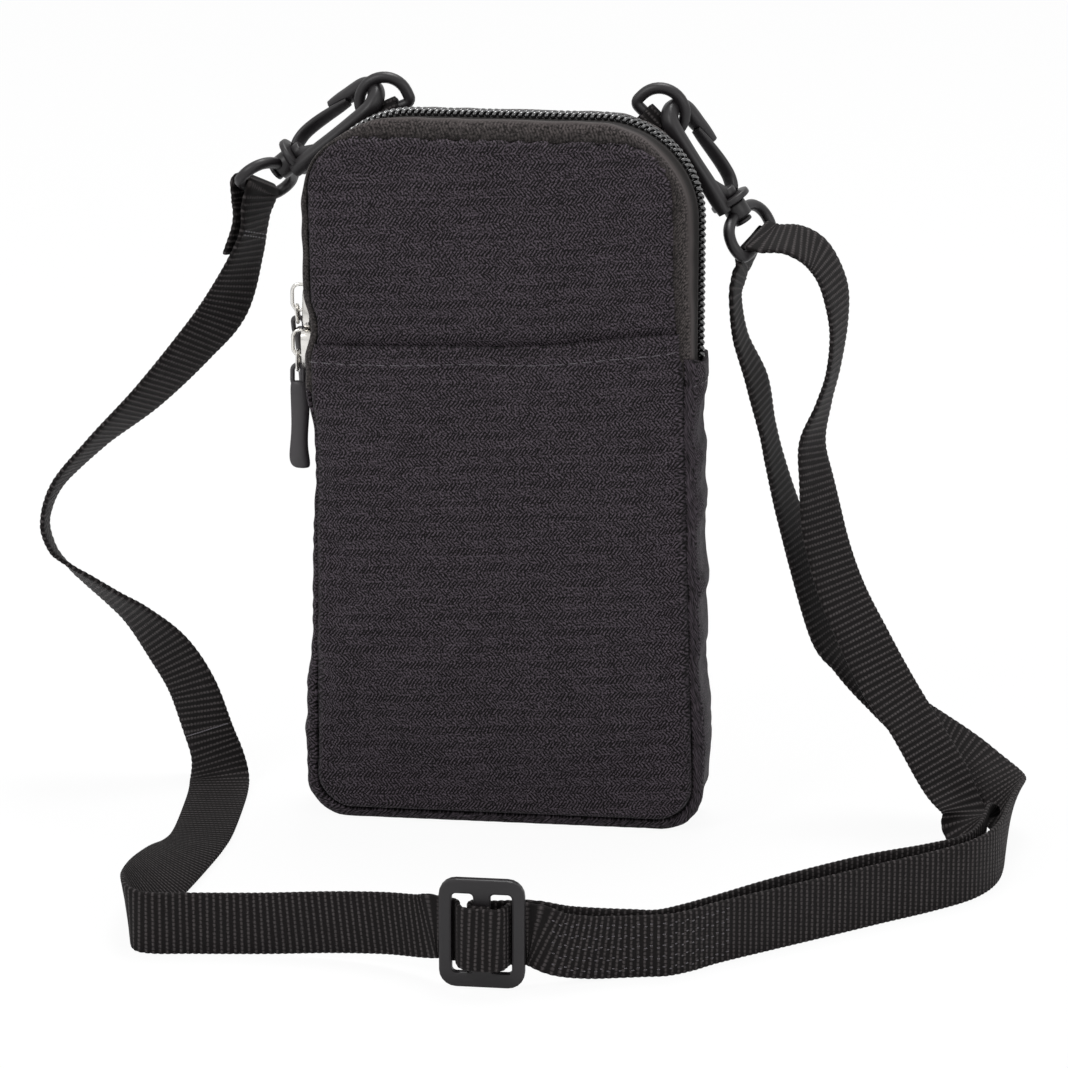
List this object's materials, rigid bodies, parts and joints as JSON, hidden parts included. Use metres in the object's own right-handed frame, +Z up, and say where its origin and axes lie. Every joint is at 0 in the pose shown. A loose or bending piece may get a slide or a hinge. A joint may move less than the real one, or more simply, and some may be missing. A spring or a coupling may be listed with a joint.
{
  "type": "fanny pack",
  "caption": "Small upright padded pouch with a zipper over the top, a front slip pocket, swivel hooks and an adjustable webbing shoulder strap.",
  "frame": {"origin": "middle of the flat base, on the surface the pouch stands on", "axes": "+Z up, the front faces -Y, +X to the right seen from the front"},
  "size_m": [0.2545, 0.1485, 0.1887],
  "materials": {
    "twill_fabric": "dark twill",
    "tape_fabric": "woven zipper tape",
    "coil_nylon": "glossy nylon coil",
    "foam": "thin padding foam",
    "lining_fabric": "thin lining",
    "webbing": "ribbed webbing",
    "black_plastic": "moulded, satin",
    "nickel": "bright nickel plate",
    "puller_rubber": "smooth rubber"
  },
  "bodies": {
    "pouch": {"front_panel": "twill_fabric", "front_pocket": "twill_fabric", "back_panel": "twill_fabric", "gusset": "twill_fabric", "zipper_tape_front": "tape_fabric", "zipper_tape_back": "tape_fabric", "zipper_coil_front": "coil_nylon", "zipper_coil_back": "coil_nylon", "foam_front": "foam", "foam_back": "foam", "lining_front": "lining_fabric", "lining_back": "lining_fabric", "d_ring_tab_left": "webbing", "d_ring_tab_right": "webbing", "swivel_eye_left": "black_plastic", "swivel_eye_right": "black_plastic", "strap_long_run": "webbing", "strap_return_run": "webbing", "strap_adjuster": "black_plastic"},
    "ring_left": {"d_ring_left": "black_plastic"},
    "ring_right": {"d_ring_right": "black_plastic"},
    "snap_left": {"hook_left": "black_plastic"},
    "snap_right": {"hook_right": "black_plastic"},
    "leaf_left": {"gate_left": "black_plastic"},
    "leaf_right": {"gate_right": "black_plastic"},
    "upper_slider": {"slider_upper": "nickel"},
    "lower_slider": {"slider_lower": "nickel"},
    "upper_link": {"pull_link_upper": "nickel"},
    "lower_link": {"pull_link_lower": "nickel"},
    "upper_pull": {"puller_upper": "puller_rubber"},
    "lower_pull": {"puller_lower": "puller_rubber"}
  },
  "joints": [
    {"name": "zip_slider_upper_slide", "type": "slide", "parent": "pouch", "child": "upper_slider", "axis": [0, 0, 1], "range_m": [0, 0.017]},
    {"name": "zip_slider_lower_slide", "type": "slide", "parent": "pouch", "child": "lower_slider", "axis": [0, 0, 1], "range_m": [-0.002, 0]},
    {"name": "pull_link_upper_swing", "type": "hinge", "parent": "upper_slider", "child": "upper_link", "pos_m": [-0.05285, 0, 0.1301], "axis": [1, 0, 0], "range_deg": [0, 60]},
    {"name": "pull_link_lower_swing", "type": "hinge", "parent": "lower_slider", "child": "lower_link", "pos_m": [-0.05285, 0, 0.1184], "axis": [1, 0, 0], "range_deg": [-60, 10]},
    {"name": "puller_upper_swing", "type": "hinge", "parent": "upper_link", "child": "upper_pull", "pos_m": [-0.05285, 0.0015, 0.12672], "axis": [0, 0.9135, 0.4067], "range_deg": [0, 25]},
    {"name": "puller_lower_swing", "type": "hinge", "parent": "lower_link", "child": "lower_pull", "pos_m": [-0.05285, -0.00039, 0.11472], "axis": [0, 0.9945, -0.1045], "range_deg": [0, 60]},
    {"name": "hook_left_swivel", "type": "hinge", "parent": "pouch", "child": "snap_left", "pos_m": [-0.05667, 0.0163, 0.16447], "axis": [-0.769, 0, -0.6392], "range_deg": [0, 20]},
    {"name": "hook_right_swivel", "type": "hinge", "parent": "pouch", "child": "snap_right", "pos_m": [0.05371, 0.0163, 0.15629], "axis": [-0.5408, 0, 0.8412], "range_deg": [0, 20]},
    {"name": "gate_left_flex", "type": "hinge", "parent": "snap_left", "child": "leaf_left", "pos_m": [-0.05514, 0.0202, 0.16811], "axis": [0.5792, 0.4231, -0.6968], "range_deg": [0, 15], "stiffness_Nm_per_rad": 0.05},
    {"name": "gate_right_flex", "type": "hinge", "parent": "snap_right", "child": "leaf_right", "pos_m": [0.05335, 0.0202, 0.16022], "axis": [0.7626, -0.4221, 0.4902], "range_deg": [0, 15], "stiffness_Nm_per_rad": 0.05},
    {"name": "d_ring_left_swing", "type": "hinge", "parent": "pouch", "child": "ring_left", "pos_m": [-0.03191, 0.0163, 0.17727], "axis": [0.9063, 0, 0.4226], "range_deg": [-3, 3]},
    {"name": "d_ring_right_swing", "type": "hinge", "parent": "pouch", "child": "ring_right", "pos_m": [0.03367, 0.0163, 0.17677], "axis": [0.7071, 0, -0.7071], "range_deg": [-3, 3]}
  ]
}
